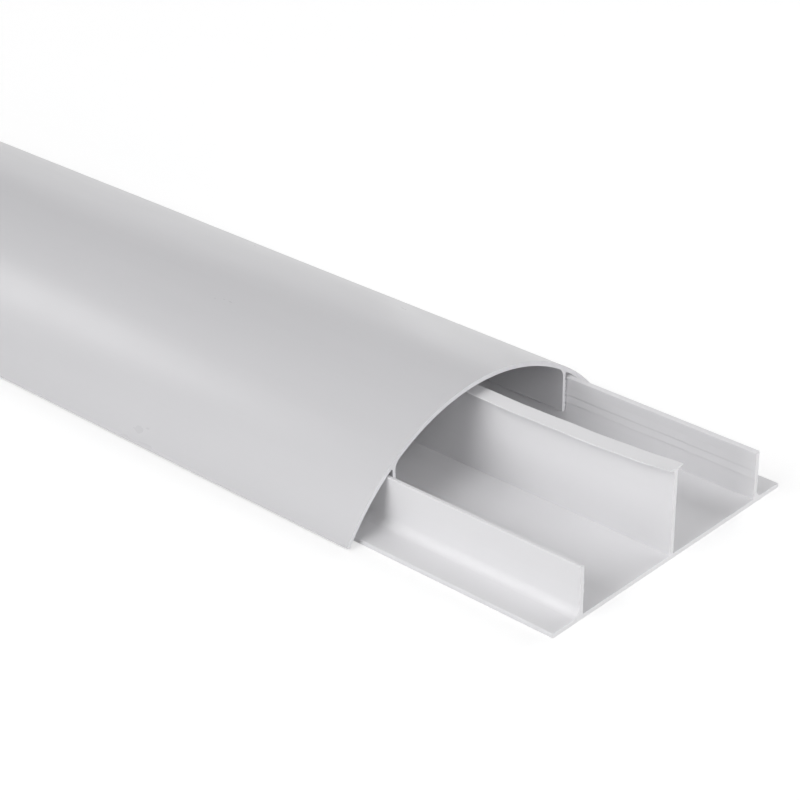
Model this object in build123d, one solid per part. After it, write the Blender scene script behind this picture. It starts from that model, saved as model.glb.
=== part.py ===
from build123d import *
import os
from math import hypot, sqrt

# Cable cover: a base strip with two cable channels, and an arched cover that snaps onto it.
# Both pieces are straight extrusions along X. Y runs across, Z up, and the origin is the
# centre of the base's underside. All sizes are in millimetres.

os.makedirs("parts", exist_ok=True)

# Stock lengths, and how far the cover's end stands back from the base's end at +X
base_length = 1000.0
cover_length = 1000.0
cover_setback = 53.5

# Floor strip of the base; its flanges lie outside the side walls
base_width = 80.0
flange_width = 8.6
floor_thickness = 1.1
floor_edge_radius = 0.3

# Side walls of the base, which hold the cover's legs between them
wall_thickness = 1.2
wall_top_radius = 0.3
wall_outer_fillet = 1.2
wall_inner_fillet = 0.3

# Centre wall of the base, which parts the two channels and ends in a T-shaped cap
centre_thickness = 1.2
centre_fillet = 0.3
cap_width = 4.6
cap_edge_thickness = 0.45
cap_fillet = 0.4

# Arched shell of the cover; its lips reach out past the edges of the base
lip_overhang = 4.4
cover_height = 25.2
cover_thickness = 1.15
lip_height = 1.0
lip_radius = 0.4

# Legs of the cover, which reach down inside the side walls
leg_thickness = 0.95
leg_floor_gap = 3.2
leg_tip_radius = 0.4
leg_inner_fillet = 3.0
leg_outer_fillet = 0.3

# Saw teeth down the outer face of each leg, and the ridges that they hook under. The leg is
# smooth for a short way above its tip and again below the shell, and so is the wall below its top.
leg_lead = 0.95
leg_headroom = 1.5
ridge_headroom = 2.5
tooth_depth = 0.4
tooth_pitch = 1.05
tooth_ramp = 0.85
ridge_depth = 0.2
ridge_ramp = 1.0
teeth_per_ridge = 2

# Fits: how far a tooth reaches under a ridge, and the play left round the joint
hook_overlap = 0.1
hook_play = 0.25
seat_play = 0.3
cap_play = 2.45

# The shell's arc runs through the crown and the outer edge of each lip
half_cover = base_width / 2 + lip_overhang
arch_rise = cover_height - lip_height
cover_radius = (half_cover**2 + arch_rise**2) / (2 * arch_rise)
arc_centre = cover_height - cover_radius
underside_radius = cover_radius - cover_thickness

# Faces of the side walls and of the legs, measured from the middle
wall_outer = base_width / 2 - flange_width
wall_inner = wall_outer - wall_thickness
tooth_tip = wall_inner - ridge_depth + hook_overlap
leg_outer = tooth_tip - tooth_depth
leg_inner = leg_outer - leg_thickness
leg_tip = floor_thickness + leg_floor_gap


def underside(y, play=0.0):
    """Height of the cover's inner face above the surface, at y, less some play."""
    return arc_centre + sqrt((underside_radius - play) ** 2 - y**2)


# The side walls rise until their rounded tops almost touch the cover, and the cap likewise
wall_top = wall_top_radius + underside(wall_outer - wall_top_radius, seat_play + wall_top_radius)
cap_top = underside(cap_width / 2, cap_play)

# As many teeth as fit on the leg, and as many ridges as fit below the wall's smooth top.
# The lowest ridge lies just above the leg's first tooth.
lowest_tooth = leg_tip + leg_lead + tooth_ramp
lowest_ridge = lowest_tooth + hook_play
ridge_pitch = teeth_per_ridge * tooth_pitch
toothed_length = underside(leg_outer) - leg_headroom - lowest_tooth
ridged_length = wall_top - ridge_headroom - ridge_ramp - lowest_ridge
tooth_heights = [lowest_tooth + tooth_pitch * n for n in range(int(toothed_length / tooth_pitch) + 1)]
ridge_heights = [lowest_ridge + ridge_pitch * n for n in range(int(ridged_length / ridge_pitch) + 1)]


def block(y_low, y_high, z_low, z_high):
    """A rectangle of the section, from its low corner to its high one."""
    middle = ((y_low + y_high) / 2, (z_low + z_high) / 2)
    return Pos(*middle) * Rectangle(y_high - y_low, z_high - z_low)


def saw_tooth(face, depth, flat, ramp):
    """A tooth on the upright face at y = face: flat on one side, sloping on the other.

    Depth is negative where it points to the middle, and ramp negative where it slopes
    downwards. It is rooted half a millimetre inside the wall that carries it.
    """
    root = face - (0.5 if depth > 0 else -0.5)
    outline = Polyline(
        (root, flat), (face + depth, flat), (face, flat + ramp), (root, flat + ramp), close=True
    )
    return make_face(outline)


def both_sides(section):
    """The section and its mirror image across the middle plane."""
    return section + mirror(section, about=Plane.YZ)


def rounded(section, radius, *places):
    """The section with the corners nearest to the places, and their mirrors, rounded."""
    corners = []
    for y, z in places:
        for side in (y, -y):
            corners.append(min(section.vertices(), key=lambda v: hypot(v.X - side, v.Y - z)))
    return fillet(corners, radius)


def extruded(section, length, end):
    """The section drawn out along X, with its far end at x = end."""
    return extrude(Plane.YZ.offset(end - length) * section, amount=length)


def base_section():
    """Floor, side walls with their ridges, and the centre wall with its cap."""
    half_centre = centre_thickness / 2
    half_cap = cap_width / 2
    cap_bottom = cap_top - cap_edge_thickness

    wall = block(wall_inner, wall_outer, 0, wall_top)
    for height in ridge_heights:
        wall += saw_tooth(wall_inner, -ridge_depth, height, ridge_ramp)
    section = block(-base_width / 2, base_width / 2, 0, floor_thickness)
    section += both_sides(wall)
    section += block(-half_centre, half_centre, 0, cap_top)
    section += block(-half_cap, half_cap, cap_bottom, cap_top)

    section = rounded(section, wall_outer_fillet, (wall_outer, floor_thickness))
    section = rounded(section, wall_inner_fillet, (wall_inner, floor_thickness))
    section = rounded(section, wall_top_radius, (wall_outer, wall_top), (wall_inner, wall_top))
    section = rounded(section, centre_fillet, (half_centre, floor_thickness))
    section = rounded(section, cap_fillet, (half_centre, cap_bottom))
    return rounded(section, floor_edge_radius, (base_width / 2, floor_thickness))


def cover_section():
    """Arched shell with a serrated leg inside each haunch."""
    centre = Pos(0, arc_centre)
    lip = (half_cover, lip_height)
    inner_lip = underside_radius / cover_radius
    lip_inside = (half_cover * inner_lip, arc_centre + (lip_height - arc_centre) * inner_lip)
    outline = (
        ThreePointArc((-lip[0], lip[1]), (0, cover_height), lip)
        + Line(lip, lip_inside)
        + ThreePointArc(lip_inside, (0, underside(0)), (-lip_inside[0], lip_inside[1]))
        + Line((-lip_inside[0], lip_inside[1]), (-lip[0], lip[1]))
    )
    shell = make_face(outline)

    leg = block(leg_inner, leg_outer, leg_tip, cover_height)
    leg &= centre * Circle(underside_radius + cover_thickness / 2)
    for height in tooth_heights:
        leg += saw_tooth(leg_outer, tooth_depth, height, -tooth_ramp)
    section = shell + both_sides(leg)

    section = rounded(section, leg_inner_fillet, (leg_inner, underside(leg_inner)))
    section = rounded(section, leg_outer_fillet, (leg_outer, underside(leg_outer)))
    section = rounded(section, leg_tip_radius, (leg_inner, leg_tip), (leg_outer, leg_tip))
    return rounded(section, lip_radius, lip, lip_inside)


base = extruded(base_section(), base_length, base_length / 2)
cover = extruded(cover_section(), cover_length, base_length / 2 - cover_setback)

export_step(base, "parts/base.step")
export_step(cover, "parts/cover.step")

print(f"side walls {wall_top:.2f} high, cap {cap_top:.2f}, arc radius {cover_radius:.2f}")
print(f"legs from {leg_inner:.2f} to {leg_outer:.2f}, tip {leg_tip:.2f}, root {underside(leg_inner):.2f}")
print("teeth at", [round(height, 2) for height in tooth_heights])
print("ridges at", [round(height, 2) for height in ridge_heights])
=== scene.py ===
# %% [markdown]
# # A cable cover in two extruded pieces
#
# The object is a surface cable cover of light grey rigid PVC. A flat base strip carries two low
# side walls and a taller centre wall with a T-shaped cap. An arched cover snaps over it, and at
# the near end it stands back, so that the section of the base can be seen.
#
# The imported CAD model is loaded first. It fixes the size and the place of both pieces, and
# everything below is made in its frame, in metres: X along the length, Y across, Z up.

# %% Load the frame
import math

import bpy
import numpy as np
from mathutils import Matrix, Vector


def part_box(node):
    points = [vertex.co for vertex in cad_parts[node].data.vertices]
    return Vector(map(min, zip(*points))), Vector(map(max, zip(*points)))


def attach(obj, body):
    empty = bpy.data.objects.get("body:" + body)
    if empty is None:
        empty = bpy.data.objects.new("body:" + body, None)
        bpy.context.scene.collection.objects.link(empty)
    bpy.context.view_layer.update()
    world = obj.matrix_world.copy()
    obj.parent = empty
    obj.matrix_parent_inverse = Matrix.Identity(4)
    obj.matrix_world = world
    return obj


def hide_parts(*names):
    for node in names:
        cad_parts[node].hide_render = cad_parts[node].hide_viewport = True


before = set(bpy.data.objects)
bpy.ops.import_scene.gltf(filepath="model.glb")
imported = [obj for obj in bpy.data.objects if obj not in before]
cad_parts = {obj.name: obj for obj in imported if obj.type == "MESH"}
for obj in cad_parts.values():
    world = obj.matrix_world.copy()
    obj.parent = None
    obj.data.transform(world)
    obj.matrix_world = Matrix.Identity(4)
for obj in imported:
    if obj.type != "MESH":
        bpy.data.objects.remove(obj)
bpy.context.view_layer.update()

MM = 0.001
quarter = math.pi / 2
scene = bpy.context.scene

# %% [markdown]
# ## Sums in materials
#
# The tone of a real surface is a sum of many small effects, and the materials below add them up
# with Math nodes. Placed by hand, each takes four lines, so one function places and links them.


# %% Math nodes
def maths(tree, operation, *values):
    """A Math node in a node tree; each value is a number or a socket to link."""
    node = tree.nodes.new("ShaderNodeMath")
    node.operation = operation
    for place, value in enumerate(values):
        if isinstance(value, (int, float)):
            node.inputs[place].default_value = value
        else:
            tree.links.new(value, node.inputs[place])
    return node.outputs[0]


print("helper made: maths")

# %% [markdown]
# ## The camera
#
# The photograph looks down on the near end of the base from the front left. Its camera was worked
# out from the straight edges of the two extrusions: which way they run towards their vanishing
# point, and where the corners of the cut end lie. A long lens close to the object gives the same
# mild perspective. The camera is placed from five plain facts: the direction that it looks from,
# a small roll, its distance, the lens, and the pixel on which the middle of the base's end falls.

# %% Camera
PICTURE_SIDE = 800.0
BASE_WIDTH = 80.0 * MM

look_azimuth = math.radians(42.9949)
look_elevation = math.radians(28.7343)
look_roll = math.radians(-0.7107)
look_distance = 6.109 * BASE_WIDTH
focal_pixels = 2285.5
end_pixel = (671.30, 558.87)
SENSOR_WIDTH = 36.0

base_end = Vector((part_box("base")[1].x, 0.0, 0.0))
backwards = Vector((
    math.sin(look_azimuth) * math.cos(look_elevation),
    -math.cos(look_azimuth) * math.cos(look_elevation),
    math.sin(look_elevation),
))
level_right = (-backwards).cross(Vector((0.0, 0.0, 1.0))).normalized()
level_up = level_right.cross(-backwards)
right = level_right * math.cos(look_roll) + level_up * math.sin(look_roll)
up = level_up * math.cos(look_roll) - level_right * math.sin(look_roll)
across = (end_pixel[0] - PICTURE_SIDE / 2) / focal_pixels
down = (end_pixel[1] - PICTURE_SIDE / 2) / focal_pixels

camera_data = bpy.data.cameras.new("camera")
camera_data.sensor_width = SENSOR_WIDTH
camera_data.lens = focal_pixels / PICTURE_SIDE * SENSOR_WIDTH
camera_data.clip_start = 0.05
camera_data.clip_end = 50.0
camera = bpy.data.objects.new("camera", camera_data)
scene.collection.objects.link(camera)
camera.location = base_end - look_distance * (-backwards + right * across - up * down)
camera.rotation_mode = "QUATERNION"
camera.rotation_quaternion = Matrix((right, up, backwards)).transposed().to_quaternion()
scene.camera = camera
scene.view_settings.view_transform = "Standard"
print("camera at", [round(v, 3) for v in camera.location])
print("lens:", round(camera_data.lens, 1), "mm")

# %% [markdown]
# ## Floor and light
#
# The photograph shows the product on plain white. The floor is white matt board. To the camera it
# also glows a little, just enough to reach white where nothing shades it, so the soft shadow of
# the object stays. Mirror-like rays see the same board. Out of the lamps' reach, well away from
# the object, the glow alone makes it white.
#
# Product shots of pale plastic are lit by large soft sources on several sides. One long panel could
# do it, but then a wall and the floor beside it could not be set against each other, because
# their tones depend on how high the light stands. So square panels stand two metres off round the
# near end. Three are in front, one above the other, and one is at the left. A smaller one beside
# the length of the cover puts the long soft sheen on the arch. Two face the cut ends, two stand
# behind, and a small card lights the far haunch of the arch. The rest is an even white surround.

# %% Floor
FLOOR_SIDE = 80.0
floor_colour = (0.60, 0.60, 0.60, 1.0)
# The glow near the object and far away, and the distances in metres between which it changes
floor_glow, far_glow = 0.515, 0.95
near_edge, far_edge = 0.8, 1.6

floor_mesh = bpy.data.meshes.new("floor")
half_floor = FLOOR_SIDE / 2
floor_mesh.from_pydata(
    [(-half_floor, -half_floor, 0), (half_floor, -half_floor, 0),
     (half_floor, half_floor, 0), (-half_floor, half_floor, 0)],
    [], [(0, 1, 2, 3)],
)
floor = bpy.data.objects.new("floor", floor_mesh)
scene.collection.objects.link(floor)

board = bpy.data.materials.new("white board")
board.use_nodes = True
nodes, links = board.node_tree.nodes, board.node_tree.links
nodes.clear()
matt = nodes.new("ShaderNodeBsdfDiffuse")
matt.inputs["Color"].default_value = floor_colour
glow = nodes.new("ShaderNodeEmission")
path = nodes.new("ShaderNodeLightPath")
seen = path.outputs["Is Camera Ray"]
for ray in ("Is Glossy Ray", "Is Transmission Ray"):
    seen = maths(board.node_tree, "MAXIMUM", seen, path.outputs[ray])
place = nodes.new("ShaderNodeTexCoord")
distance = nodes.new("ShaderNodeVectorMath")
distance.operation = "LENGTH"
links.new(place.outputs["Object"], distance.inputs[0])
spread = nodes.new("ShaderNodeMapRange")
spread.inputs["From Min"].default_value = near_edge
spread.inputs["From Max"].default_value = far_edge
spread.inputs["To Min"].default_value = floor_glow
spread.inputs["To Max"].default_value = far_glow
links.new(distance.outputs["Value"], spread.inputs["Value"])
glow_level = maths(board.node_tree, "MULTIPLY", seen, spread.outputs["Result"])
links.new(glow_level, glow.inputs["Strength"])
both = nodes.new("ShaderNodeAddShader")
links.new(matt.outputs[0], both.inputs[0])
links.new(glow.outputs[0], both.inputs[1])
surface = nodes.new("ShaderNodeOutputMaterial")
links.new(both.outputs[0], surface.inputs["Surface"])
floor_mesh.materials.append(board)
print("floor:", FLOOR_SIDE, "m wide, glow", floor_glow, "to", far_glow)

# %% Surround
surround_level = 0.15
surround_colour = (0.99, 0.985, 1.0, 1.0)
world = bpy.data.worlds.new("surround")
scene.world = world
world.use_nodes = True
surround = world.node_tree.nodes["Background"]
surround.inputs["Color"].default_value = surround_colour
surround.inputs["Strength"].default_value = surround_level
print("surround level:", surround_level)


# %% Lamps
def soft_panel(name, place, target, width, height, power):
    """A rectangular lamp at a place, turned so that it shines at the target.

    The lamp shines along its own -Z, so its -Z is turned to the line from place to target.
    """
    data = bpy.data.lights.new(name, "AREA")
    data.shape = "RECTANGLE"
    data.size = width
    data.size_y = height
    data.energy = power
    lamp = bpy.data.objects.new(name, data)
    scene.collection.objects.link(lamp)
    lamp.location = place
    lamp.rotation_mode = "QUATERNION"
    lamp.rotation_quaternion = (Vector(target) - Vector(place)).to_track_quat("-Z", "Y")
    return lamp


near_end = Vector((0.42, 0.0, 0.01))
PANEL_DISTANCE = 2.0
WIDE, NARROW = 0.8, 0.5

# Name, azimuth and elevation in degrees, power in watts, side in metres
PANELS = [
    ("low front panel", 0, 12, 9.6, WIDE),
    ("front panel", 0, 38, 5.5, WIDE),
    ("high front panel", 0, 64, 4.0, WIDE),
    ("left panel", -30, 38, 6.1, WIDE),
    ("sheen panel", -75, 38, 3.1, NARROW),
    ("end panel", 60, 38, 7.8, WIDE),
    ("low end panel", 90, 12, 9.5, WIDE),
    ("back panel", 180, 38, 12.3, WIDE),
    ("low back panel", -135, 12, 1.7, WIDE),
]


def direction(azimuth, elevation):
    """The unit vector to a place in the sky; azimuth in degrees from -Y towards +X."""
    turn, rise = math.radians(azimuth), math.radians(elevation)
    level = math.cos(rise)
    return Vector((math.sin(turn) * level, -math.cos(turn) * level, math.sin(rise)))


for name, azimuth, elevation, power, side in PANELS:
    place = near_end + PANEL_DISTANCE * direction(azimuth, elevation)
    soft_panel(name, place, near_end, side, side, power)

CARD_PLACE, CARD_TARGET = (0.370, 0.140, 0.045), (0.43, 0.02, 0.02)
CARD_WIDTH, CARD_HEIGHT, CARD_POWER = 0.10, 0.06, 0.008
card = soft_panel("small card", CARD_PLACE, CARD_TARGET, CARD_WIDTH, CARD_HEIGHT, CARD_POWER)
card.visible_camera = False

# %% [markdown]
# ## The sizes of the two sections
#
# Both pieces are extrusions: one flat section drawn out along X. A section could be cut from the
# CAD mesh, but its corners could then not be rounded further, so it is built again from the part's
# own sizes, in millimetres. The arch is an arc through its crown and the outer edges of its lips,
# and its centre lies below the floor.
#
# Four small forms are softer than in the plain CAD section, as the photograph shows them: the foot
# of the side walls is rounder, their tops slant inwards so that the cover's legs find their way,
# the ridges run out in a longer slope, and the arms of the cap thin out towards their edges.

# %% Sizes, in millimetres
half_base, flange, floor_thick = 40.0, 8.6, 1.1
wall_thick, centre_half = 1.2, 0.6
cap_half, cap_edge, cap_root = 2.3, 0.25, 0.55
lip_overhang, cover_height, cover_thick, lip_z = 4.4, 25.2, 1.15, 1.0
leg_thick, leg_tip_z = 0.95, 4.3
tooth_depth, tooth_ramp, ridge_depth = 0.4, 0.85, 0.2
ridge_tip, ridge_slope = 0.18, 1.9
wall_foot, wall_top_slant = 2.0, 0.3
tooth_pitch, teeth_per_ridge = 1.05, 2
tooth_heights = 6.1 + tooth_pitch * np.arange(7)
ridge_heights = 6.35 + teeth_per_ridge * tooth_pitch * np.arange(2)
hook_overlap, seat_play, cap_play = 0.1, 0.3, 2.45
wall_round = 0.3

wall_out = half_base - flange
wall_in = wall_out - wall_thick
leg_out = wall_in - ridge_depth + hook_overlap - tooth_depth
leg_in = leg_out - leg_thick
lip_y = half_base + lip_overhang
arch_radius = (lip_y**2 + (cover_height - lip_z) ** 2) / (2 * (cover_height - lip_z))
arch_centre = cover_height - arch_radius
under_radius = arch_radius - cover_thick


def under_arch(y, play):
    """Height of the arch's underside at y, less some play: the circle's own formula."""
    return arch_centre + math.sqrt((under_radius - play) ** 2 - y**2)


wall_top_z = wall_round + under_arch(wall_out - wall_round, seat_play + wall_round)
cap_top_z = under_arch(cap_half, cap_play)
print("side walls", round(wall_top_z, 3), "high, cap", round(cap_top_z, 3))
print("arch radius", round(arch_radius, 2), "about z", round(arch_centre, 2))

# %% [markdown]
# ## Outlines
#
# A corner of an extrusion is never sharp: the die that it is pushed through is rounded, and so is
# the plastic. A bevel modifier would round them all alike. Here an outline is a list of corners,
# each with its own radius, and one function turns it into points. It also puts a point just
# beside each arc, so that smooth shading stays inside the arc and the flats beside it stay flat.

# %% Rounded corners and arcs
CORNER_STEPS = 5
BESIDE = 0.02


def rounded_path(corners, radii):
    """Points of an open path whose inner corners are rounded.

    A corner that turns by an angle is cut back on both sides by its radius times the tangent of
    half that angle. The arc starts at the first cut, and its points are that cut swung about the
    arc's centre, which lies one radius to the side, by equal shares of the turn.
    """
    p = np.asarray(corners, float)
    r = np.asarray(radii, float)[1:-1]
    step = np.diff(p, axis=0)
    step /= np.linalg.norm(step, axis=1)[:, None]
    into, out = step[:-1], step[1:]
    turn = np.arctan2(into[:, 0] * out[:, 1] - into[:, 1] * out[:, 0], (into * out).sum(1))
    cut = r * np.tan(np.abs(turn) / 2)
    start = p[1:-1] - into * cut[:, None]
    end = p[1:-1] + out * cut[:, None]
    side = np.stack([-into[:, 1], into[:, 0]], 1) * np.sign(turn)[:, None]
    centre = start + side * r[:, None]
    swing = turn[:, None] * np.linspace(0, 1, CORNER_STEPS + 1)
    arm = (start - centre)[:, None, :]
    cos, sin = np.cos(swing), np.sin(swing)
    arcs = centre[:, None, :] + np.stack(
        [arm[..., 0] * cos - arm[..., 1] * sin, arm[..., 0] * sin + arm[..., 1] * cos], -1
    )
    before = (start - into * BESIDE)[:, None, :]
    after = (end + out * BESIDE)[:, None, :]
    inner = np.concatenate([before, arcs, after], 1).reshape(-1, 2)
    return np.concatenate([p[:1], inner, p[-1:]])


def arc(centre, radius, start, end, count):
    """As many points on an arc as count says; angles in radians, from straight up towards +Y."""
    angle = np.linspace(start, end, count)
    return np.stack([centre[0] + radius * np.sin(angle), centre[1] + radius * np.cos(angle)], 1)


def mirrored(half):
    """A closed outline from its right half, which starts and ends on the middle plane."""
    left = half[1:-1][::-1] * (-1, 1)
    return np.concatenate([half, left])


print("a rounded corner becomes", CORNER_STEPS + 3, "points")

# %% [markdown]
# ## The base's section
#
# The right half runs from the middle of the underside, out and round the flange, up the outside of
# the side wall, down its inside over two low ridges, along the floor of the channel and up the
# centre wall to the cap. Each ridge is flat underneath and slopes above: the cover's teeth ride
# over the slope and catch under the flat. Boxes joined together would make the same shape, but
# one closed outline leaves no seams and lets every inner corner have its fillet.

# %% Base outline
strip_low_round, strip_top_round = 0.15, 0.25
wall_out_round, wall_in_round, wall_inner_foot = 0.1, 0.2, 0.03
ridge_rounds = [0.03, 0.10, 0.02]
centre_foot, cap_fillet, cap_round = 0.03, 0.4, 0.1


def ridge_corners(face, tip, flat, sloped):
    """Corners of all ridges or teeth on one face, three each, in the order of the given heights.

    Each has its flat at a height of flat and meets the face again at sloped.
    """
    corners = np.stack([
        np.stack([np.full_like(sloped, face), sloped], 1),
        np.stack([np.full_like(flat, tip), flat], 1),
        np.stack([np.full_like(flat, face), flat], 1),
    ], 1)
    return corners.reshape(-1, 2)


downwards = ridge_heights[::-1]
ridges = ridge_corners(wall_in, wall_in - ridge_tip, downwards, downwards + ridge_slope)
base_corners = np.concatenate([
    [(0, 0), (half_base, 0), (half_base, floor_thick), (wall_out, floor_thick),
     (wall_out, wall_top_z), (wall_in, wall_top_z - wall_top_slant)],
    ridges,
    [(wall_in, floor_thick), (centre_half, floor_thick), (centre_half, cap_top_z - cap_root),
     (cap_half, cap_top_z - cap_edge), (cap_half, cap_top_z), (0, cap_top_z)],
])
base_radii = np.concatenate([
    [0, strip_low_round, strip_top_round, wall_foot, wall_out_round, wall_in_round],
    np.tile(ridge_rounds, len(ridge_heights)),
    [wall_inner_foot, centre_foot, cap_fillet, cap_round, cap_round, 0],
])
base_outline = mirrored(rounded_path(base_corners, base_radii))
print("base outline:", len(base_outline), "points")

# %% [markdown]
# ## The cover's section
#
# The shell is two arcs about one centre. A leg hangs from it inside each haunch, with a wide
# rounded corner on its inner side. Seven teeth run down its outer face: flat above, sloping below.
# The legs could be pushed into the shell as bars of their own, but in the real piece all is one
# flow of plastic, with fillets against the arch. They are found from the two circles, because a
# rounding between a line and an arc has its centre where both are one fillet radius away.

# %% Cover outline
inner_fillet, outer_fillet, lip_round, tip_round, tooth_round = 3.0, 0.3, 0.4, 0.4, 0.13
middle = (0.0, arch_centre)

# A fillet's centre lies as far below the underside as its radius is long
inner_y, outer_y = leg_in - inner_fillet, leg_out + outer_fillet
inner_z = under_arch(inner_y, inner_fillet)
outer_z = under_arch(outer_y, outer_fillet)
inner_angle = math.atan2(inner_y, inner_z - arch_centre)
outer_angle = math.atan2(outer_y, outer_z - arch_centre)
lip_angle = math.atan2(lip_y, lip_z - arch_centre)
low_reach, high_reach = under_radius + lip_round, arch_radius - lip_round
low_angle = lip_angle - math.asin(lip_round / low_reach)
high_angle = lip_angle - math.asin(lip_round / high_reach)
low_centre = (low_reach * math.sin(low_angle), arch_centre + low_reach * math.cos(low_angle))
high_centre = (high_reach * math.sin(high_angle), arch_centre + high_reach * math.cos(high_angle))

teeth = ridge_corners(leg_out, leg_out + tooth_depth, tooth_heights, tooth_heights - tooth_ramp)
leg_corners = np.concatenate([
    [(leg_in, inner_z), (leg_in, leg_tip_z), (leg_out, leg_tip_z)], teeth, [(leg_out, outer_z)],
])
leg_radii = [0, tip_round, tip_round] + [tooth_round] * len(teeth) + [0]
leg_path = rounded_path(leg_corners, leg_radii)
cover_half = np.concatenate([
    arc(middle, under_radius, 0, inner_angle, 40),
    arc((inner_y, inner_z), inner_fillet, inner_angle, quarter, 9)[1:],
    leg_path[1:],
    arc((outer_y, outer_z), outer_fillet, -quarter, outer_angle, 6)[1:],
    arc(middle, under_radius, outer_angle, low_angle, 18)[1:],
    arc(low_centre, lip_round, low_angle + math.pi, lip_angle + quarter, 5)[1:],
    arc(high_centre, lip_round, lip_angle + quarter, high_angle, 5),
    arc(middle, arch_radius, high_angle, 0, 56)[1:],
])
cover_outline = mirrored(cover_half)
print("cover outline:", len(cover_outline), "points")

# %% [markdown]
# ## Drawing the outline out
#
# A curve with this outline as its bevel would give the length, but not the ends. So the outline is
# repeated at stations along X, closer together towards both ends, and neighbouring stations are
# joined by quads. The cut ends are not knife-sharp either: over their last few hundredths of a
# millimetre the outline shrinks along its own normals by a quarter circle, and one flat face
# closes it. Every vertex also carries a mark, "edge", which is 1 where the outline or the cut
# turns sharply outwards, for the materials to use.

# %% Normals and edges of an outline
SHORTEST = 0.02


def outline_normals(outline):
    """Outward miter of each point: its two edge normals added, over one plus their product."""
    ahead = np.roll(outline, -1, 0) - outline
    ahead /= np.linalg.norm(ahead, axis=1)[:, None]
    after = np.stack([ahead[:, 1], -ahead[:, 0]], 1)
    before = np.roll(after, 1, 0)
    return (before + after) / (1 + (before * after).sum(1))[:, None]


def outline_edges(outline):
    """1 where the outline turns outwards within a radius of half a millimetre, else 0.

    The turn over the shorter neighbouring edge is the curvature: 1 for a radius of a millimetre,
    2 for half of one. The mark is the curvature less 1, kept between 0 and 1.
    """
    ahead = np.roll(outline, -1, 0) - outline
    length = np.linalg.norm(ahead, axis=1)
    back = np.roll(ahead, 1, 0)
    turn = np.arctan2(back[:, 0] * ahead[:, 1] - back[:, 1] * ahead[:, 0], (back * ahead).sum(1))
    reach = np.maximum(np.minimum(length, np.roll(length, 1)), SHORTEST)
    return np.clip(turn / reach - 1.0, 0, 1)


for label, outline in {"base": base_outline, "cover": cover_outline}.items():
    print(label, "outline has", int((outline_edges(outline) > 0).sum()), "points on sharp edges")

# %% Stations along X
CUT_RADIUS = 0.07
CUT_STEPS = 3
STATIONS = 120


def stations(low, high):
    """Places along X, how far the outline is shrunk there, and a mark for the rounded cut.

    Between the ends a place is the middle plus half the length times the sine of an angle that
    grows evenly, which packs the places towards both ends. At an end the quarter circle sets both.
    """
    t = np.linspace(0, quarter, CUT_STEPS + 1)
    cut_x = np.append(CUT_RADIUS * np.sin(t) - CUT_RADIUS, 0)
    cut_in = np.append(CUT_RADIUS * (1 - np.cos(t)), CUT_RADIUS + BESIDE)
    span = (high - low) / 2 - CUT_RADIUS - BESIDE
    between = (low + high) / 2 + span * np.sin(np.linspace(-quarter, quarter, STATIONS))
    x = np.concatenate([low - cut_x[::-1], between, high + cut_x])
    inset = np.concatenate([cut_in[::-1], np.zeros(STATIONS), cut_in])
    cut_rim = np.append(np.append(0, np.ones(CUT_STEPS)), 0)
    rim = np.concatenate([cut_rim, np.zeros(STATIONS), cut_rim])
    return x, inset, rim


base_low, base_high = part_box("base")
cover_low, cover_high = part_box("cover")
print("stations on each piece:", len(stations(base_low.x / MM, base_high.x / MM)[0]))


# %% Extrusion
def extrusion(name, outline, low, high, relief):
    """A closed solid surface: the outline drawn from low to high along X, then passed to relief.

    A point is the outline's point less its normal times the inset of the station. The quads join
    each point with the next one on the outline and with the same two at the next station.
    """
    x, inset, rim = stations(low, high)
    count = len(outline)
    flat = outline[None] - inset[:, None, None] * outline_normals(outline)[None]
    points = np.concatenate([np.broadcast_to(x[:, None, None], (len(x), count, 1)), flat], 2)
    points = relief(points) * MM
    first = np.arange(len(x) - 1)[:, None] * count
    here = np.arange(count)[None]
    there = np.roll(here, -1, 1)
    quads = np.stack([first + here, first + there, first + count + there, first + count + here], -1)
    start_cap = np.arange(count)[::-1]
    end_cap = (len(x) - 1) * count + np.arange(count)
    mesh = bpy.data.meshes.new(name)
    faces = quads.reshape(-1, 4).tolist() + [start_cap.tolist(), end_cap.tolist()]
    mesh.from_pydata(points.reshape(-1, 3), [], faces)
    mesh.polygons.foreach_set("use_smooth", np.ones(len(mesh.polygons), bool))
    edge = np.maximum(rim[:, None], outline_edges(outline)[None] * (inset[:, None] < CUT_RADIUS))
    mark = mesh.attributes.new("edge", "FLOAT", "POINT")
    mark.data.foreach_set("value", edge.reshape(-1).astype(np.float32))
    mesh.update()
    piece = bpy.data.objects.new(name, mesh)
    scene.collection.objects.link(piece)
    triangles = 2 * (quads.size // 4) + 2 * (count - 2)
    print(name, "has", len(mesh.vertices), "vertices and", triangles, "triangles")
    return piece


# %% [markdown]
# ## Fine relief
#
# A thin wall never leaves the die quite straight. The centre wall of the base stands free, so it
# wanders most: its top swings by a tenth or two of a millimetre over a hand's length, and the thin
# arms of its cap ripple. At the cut end the saw has bent it up, and a little behind it sags. The
# side walls and the cover's legs move past each other with a quarter of a millimetre to spare, so
# they wander far less. The ridges are so small that the die drags them: they waver in height, and
# their depth comes and goes.
#
# Noise could move the points, but faults of a die are slow and smooth along the length, and must
# stay small across it. Sums of two sines of X, weighted by height, do that and are always the same.

# %% Waves and ramps
def wave(x, size, length, shift=0.0):
    """A sine of the given size; length is the distance along X for one radian of its phase."""
    return size * np.sin(x / length + shift)


def ramp(value, start, end):
    """0 up to start, 1 from end on, and a straight line between them."""
    return np.clip((value - start) / (end - start), 0, 1)


print("a wave of length 23 mm repeats every", round(23.0 * 4 * quarter, 1), "mm")

# %% Relief of the base, in millimetres
BASE_END = 500.0
# The centre wall lies within this distance of the middle, and its cap this far below its top
CENTRE_REACH, ARM_REACH = 6.0, 2.2
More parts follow.
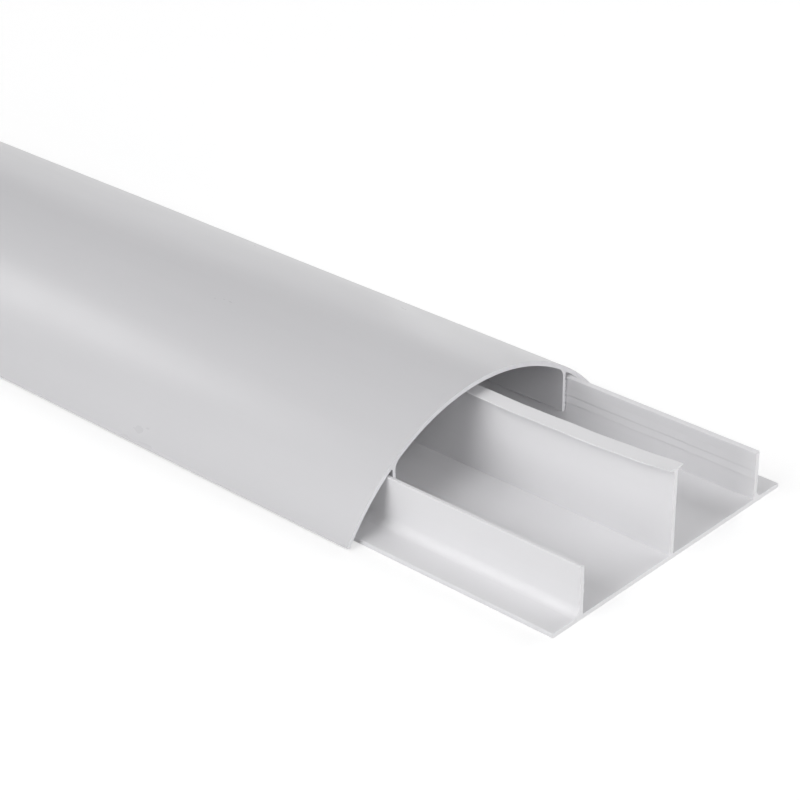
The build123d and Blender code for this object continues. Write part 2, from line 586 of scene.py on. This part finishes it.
# The ridges lie within this distance of the side wall's face and above this height
RIDGE_REACH, RIDGE_START = 0.5, 6.0
WORN_SHARE, WORN_CHANGE = 0.20, 0.25
# The bow: length and size of the rise at the cut end, then place, length and size of the sag
RISE_LENGTH, RISE = 32.0, 0.85
SAG_PLACE, SAG_LENGTH, SAG = 52.0, 30.0, 0.40
FLICK_LENGTH, LEFT_FLICK, RIGHT_FLICK = 9.0, 0.35, 0.15


def base_relief(points):
    """Sway and bow of the walls, waver of the ridges and ripple of the cap's arms.

    The sway is a sum of two sines along X, times the square of the height. The ridges move up and
    down by two more sines, and back into their wall by a share of their depth that two sines
    multiplied give. The arms lift in proportion to their distance from the middle, by sines along
    X and by the square of a ramp over the last millimetres. The bow is the square of a ramp at
    the near end, less a bell curve behind it, both times the square of the height.
    """
    x, y, z = points[..., 0], points[..., 1], points[..., 2]
    across, side = np.abs(y), np.sign(y)
    back = np.maximum(BASE_END - x, 0.0)
    centre = across < CENTRE_REACH
    moved = points.copy()

    height = ramp(z, floor_thick, cap_top_z)
    sway = wave(x, 0.14, 23.0, -1.96) + wave(x, 0.05, 9.5, -0.8)
    moved[..., 1] += np.where(centre, sway * height**2, 0.0)

    side_height = ramp(z, floor_thick, wall_top_z)
    side_sway = wave(x, 0.02, 31.0, 1.0) + wave(x, 0.01, 12.0)
    moved[..., 1] += np.where(~centre, side_sway * side_height**2, 0.0)

    near_wall = (across > wall_in - RIDGE_REACH) & (z > RIDGE_START)
    ridged = np.clip((wall_in - across) / ridge_tip, 0, 1) * near_wall
    worn = WORN_SHARE + wave(x, WORN_CHANGE, 6.1, z) * wave(x, 1.0, 2.9)
    moved[..., 2] += ridged * (wave(x, 0.09, 5.0) + wave(x, 0.05, 2.3, side))
    moved[..., 1] += side * ridged * ridge_tip * worn

    rise = np.clip(1.0 - back / RISE_LENGTH, 0, 1) ** 2
    sag = np.exp(-((back - SAG_PLACE) / SAG_LENGTH) ** 2)
    moved[..., 2] += np.where(centre, (RISE * rise - SAG * sag) * height**2, 0.0)

    arm = ramp(across, centre_half, cap_half) * ((z > cap_top_z - ARM_REACH) & centre)
    ripple = wave(x, 0.05, 1.7, 2.0 * np.sin(x / 9.0)) + wave(x, 0.06, 4.1)
    flick = np.clip(1.0 - back / FLICK_LENGTH, 0, 1) ** 2 * np.where(y > 0, RIGHT_FLICK, LEFT_FLICK)
    moved[..., 2] += arm * (wave(x, 0.07, 13.0, side) + ripple + flick)
    return moved


print("centre wall: up by", RISE, "mm at the cut end, down by", SAG, "mm behind it")

# %% Relief of the cover, in millimetres
CROWN_DROP = 0.05


def cover_relief(points):
    """A gentle swell of the shell: a few hundredths of a millimetre along its radius, by sines.

    The crown is set lower by the most that the swell can add, so that the shell stays in its box.
    """
    x, y, z = points[..., 0], points[..., 1], points[..., 2]
    moved = points.copy()
    angle = np.arctan2(y, z - arch_centre)
    swell = wave(x, 0.03, 41.0, 3.0 * angle) + wave(x, 0.02, 17.0, -7.0 * angle)
    moved[..., 1] += swell * np.sin(angle)
    moved[..., 2] += (swell - CROWN_DROP) * np.cos(angle)
    return moved


print("crown of the cover: lower by", CROWN_DROP, "mm")

# %% Both pieces
base = extrusion("base_profile", base_outline, base_low.x / MM, base_high.x / MM, base_relief)
cover = extrusion("cover_profile", cover_outline, cover_low.x / MM, cover_high.x / MM, cover_relief)

# %% [markdown]
# ## What both plastics have in common
#
# Rigid PVC leaves the die with a satin skin. Three effects make it up. They could be written out in
# each material, but as node groups the base and the cover share them, with their own values:
#
# - die lines: very fine streaks that run the whole length, as a scratch in the die would leave;
# - clouds: slow changes of tone and gloss, stretched along the length, where the melt cooled
#   unevenly;
# - sawn end: the mask of the faces that look along X, with the marks of the saw's teeth.

# %% Helpers for node groups
def new_group(name, inputs, outputs):
    """A shader node group with the named float sockets, and its two ends."""
    group = bpy.data.node_groups.new(name, "ShaderNodeTree")
    for label, value in inputs.items():
        socket = group.interface.new_socket(label, in_out="INPUT", socket_type="NodeSocketFloat")
        socket.default_value = value
    for label in outputs:
        group.interface.new_socket(label, in_out="OUTPUT", socket_type="NodeSocketFloat")
    return group, group.nodes.new("NodeGroupInput"), group.nodes.new("NodeGroupOutput")


def stretched_noise(group, stretch, detail, roughness):
    """Noise on Object coordinates, scaled by stretch along X, Y and Z."""
    place = group.nodes.new("ShaderNodeTexCoord")
    scaled = group.nodes.new("ShaderNodeMapping")
    scaled.inputs["Scale"].default_value = stretch
    group.links.new(place.outputs["Object"], scaled.inputs["Vector"])
    noise = group.nodes.new("ShaderNodeTexNoise")
    noise.inputs["Scale"].default_value = 1.0
    noise.inputs["Detail"].default_value = detail
    noise.inputs["Roughness"].default_value = roughness
    group.links.new(scaled.outputs["Vector"], noise.inputs["Vector"])
    return noise.outputs["Fac"]


print("helpers made: new_group and stretched_noise")

# %% Die lines
die_lines, ends_in, ends_out = new_group("Die lines", {"Amount": 1.0}, ["Height", "Tone"])
fine = stretched_noise(die_lines, (1.5, 2600.0, 2600.0), 3.0, 0.6)
broad = stretched_noise(die_lines, (0.8, 420.0, 420.0), 2.0, 0.5)
broad_share = maths(die_lines, "MULTIPLY", broad, 0.6)
lines = maths(die_lines, "MULTIPLY_ADD", fine, 0.4, broad_share)
line_height = maths(die_lines, "MULTIPLY", lines, ends_in.outputs["Amount"])
line_tone = maths(die_lines, "SUBTRACT", lines, 0.5)
die_lines.links.new(line_height, ends_out.inputs["Height"])
die_lines.links.new(line_tone, ends_out.inputs["Tone"])
print("group made:", die_lines.name)

# %% Clouds
clouds, ends_in, ends_out = new_group("Clouds", {"Contrast": 1.0}, ["Tone", "Gloss"])
slow = stretched_noise(clouds, (7.0, 34.0, 34.0), 3.0, 0.55)
patches = stretched_noise(clouds, (60.0, 160.0, 160.0), 4.0, 0.6)
for label, noise in {"Tone": slow, "Gloss": patches}.items():
    centred = maths(clouds, "SUBTRACT", noise, 0.5)
    cloud = maths(clouds, "MULTIPLY", centred, ends_in.outputs["Contrast"])
    clouds.links.new(cloud, ends_out.inputs[label])
print("group made:", clouds.name)

# %% Sawn end
# The share of X in a normal at which a face starts to count as sawn, and counts in full
SAWN_START, SAWN_FULL = 0.75, 0.98
sawn_end, ends_in, ends_out = new_group("Sawn end", {"Marks": 1.0}, ["Mask", "Height"])
facing = sawn_end.nodes.new("ShaderNodeTexCoord")
parts = sawn_end.nodes.new("ShaderNodeSeparateXYZ")
sawn_end.links.new(facing.outputs["Normal"], parts.inputs[0])
along = maths(sawn_end, "ABSOLUTE", parts.outputs["X"])
mask = sawn_end.nodes.new("ShaderNodeMapRange")
mask.inputs["From Min"].default_value = SAWN_START
mask.inputs["From Max"].default_value = SAWN_FULL
sawn_end.links.new(along, mask.inputs["Value"])
sawn_end.links.new(mask.outputs["Result"], ends_out.inputs["Mask"])
saw = stretched_noise(sawn_end, (0.0, 900.0, 5200.0), 3.0, 0.65)
saw = maths(sawn_end, "MULTIPLY", saw, mask.outputs["Result"])
saw = maths(sawn_end, "MULTIPLY", saw, ends_in.outputs["Marks"])
sawn_end.links.new(saw, ends_out.inputs["Height"])
print("all node groups:", [group.name for group in bpy.data.node_groups])

# %% [markdown]
# ## The plastic
#
# Both pieces are light grey PVC, a trace bluish. The cover is set darker and glossier than the
# base.
# A flat colour would look painted, so the tone follows the clouds and, far less, the die lines. The
# cut ends are duller, because the saw leaves them rough. They are also lighter: partly the saw's
# paler surface, partly painted light that brightens every face looking along X. The edges that
# hands and the die rub are a little smoother, and a painted highlight makes them lighter.

# %% Materials
# How much each effect adds to the tone and to the roughness, and the saw marks' depth in metres
# The edge tone makes the sharp outer edges lighter: a painted highlight.
CLOUD_TONE, LINE_TONE, EDGE_PAINTED_HIGHLIGHT = 0.10, 0.03, 0.02
CLOUD_ROUGH, CUT_ROUGH, EDGE_ROUGH = 0.12, 0.15, -0.06
SAW_DEPTH = 0.00006
PVC_IOR = 1.53


def plastic(name, colour, roughness, line_height, cut_paleness_and_painted_light):
    """Satin PVC: a colour whose tone and gloss change with clouds, die lines, cuts and edges.
    The lighter cut ends are partly painted light, and the lighter edges are a painted highlight.

    The tone is 1 plus a share of each effect, and it scales the colour. The roughness is built up
    in the same way, and the bump is the die lines' height in metres plus the saw marks'.
    """
    material = bpy.data.materials.new(name)
    material.use_nodes = True
    tree = material.node_tree
    shader = tree.nodes["Principled BSDF"]
    shader.inputs["IOR"].default_value = PVC_IOR
    shader.inputs["Specular IOR Level"].default_value = 0.5

    def placed(group, **values):
        node = tree.nodes.new("ShaderNodeGroup")
        node.node_tree = group
        for label, value in values.items():
            node.inputs[label].default_value = value
        return node

    cloud = placed(clouds, Contrast=1.0)
    line = placed(die_lines, Amount=1.0)
    cut = placed(sawn_end, Marks=1.0)
    rim = tree.nodes.new("ShaderNodeAttribute")
    rim.attribute_name = "edge"

    tone = maths(tree, "MULTIPLY_ADD", cloud.outputs["Tone"], CLOUD_TONE, 1.0)
    tone = maths(tree, "MULTIPLY_ADD", line.outputs["Tone"], LINE_TONE, tone)
    # The cut ends are made lighter: partly the saw's paler surface, partly painted light on the
    # faces looking along X.
    tone = maths(tree, "MULTIPLY_ADD", cut.outputs["Mask"], cut_paleness_and_painted_light, tone)
    # The sharp outer edges are made lighter by a painted highlight.
    tone = maths(tree, "MULTIPLY_ADD", rim.outputs["Fac"], EDGE_PAINTED_HIGHLIGHT, tone)
    coloured = tree.nodes.new("ShaderNodeVectorMath")
    coloured.operation = "SCALE"
    coloured.inputs[0].default_value = colour
    tree.links.new(tone, coloured.inputs["Scale"])
    tree.links.new(coloured.outputs[0], shader.inputs["Base Color"])

    rough = maths(tree, "MULTIPLY_ADD", cloud.outputs["Gloss"], CLOUD_ROUGH, roughness)
    rough = maths(tree, "MULTIPLY_ADD", cut.outputs["Mask"], CUT_ROUGH, rough)
    rough = maths(tree, "MULTIPLY_ADD", rim.outputs["Fac"], EDGE_ROUGH, rough)
    tree.links.new(rough, shader.inputs["Roughness"])

    bump = tree.nodes.new("ShaderNodeBump")
    bump.inputs["Strength"].default_value = 1.0
    bump.inputs["Distance"].default_value = 1.0
    height = maths(tree, "MULTIPLY", line.outputs["Height"], line_height)
    height = maths(tree, "MULTIPLY_ADD", cut.outputs["Height"], SAW_DEPTH, height)
    tree.links.new(height, bump.inputs["Height"])
    tree.links.new(bump.outputs["Normal"], shader.inputs["Normal"])
    return material


# The last number makes the cut ends lighter: partly the saw's paler surface, partly painted light.
base_material = plastic("base PVC", (0.80, 0.797, 0.811), 0.57, 0.000006, 0.25)
cover_material = plastic("cover PVC", (0.64, 0.6375, 0.653), 0.30, 0.000004, 0.33)
base.data.materials.append(base_material)
cover.data.materials.append(cover_material)
print("materials:", base_material.name, "and", cover_material.name)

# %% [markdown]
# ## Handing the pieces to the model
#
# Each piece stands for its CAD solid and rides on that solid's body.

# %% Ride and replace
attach(base, "base")
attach(cover, "cover")
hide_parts("base")
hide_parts("cover")
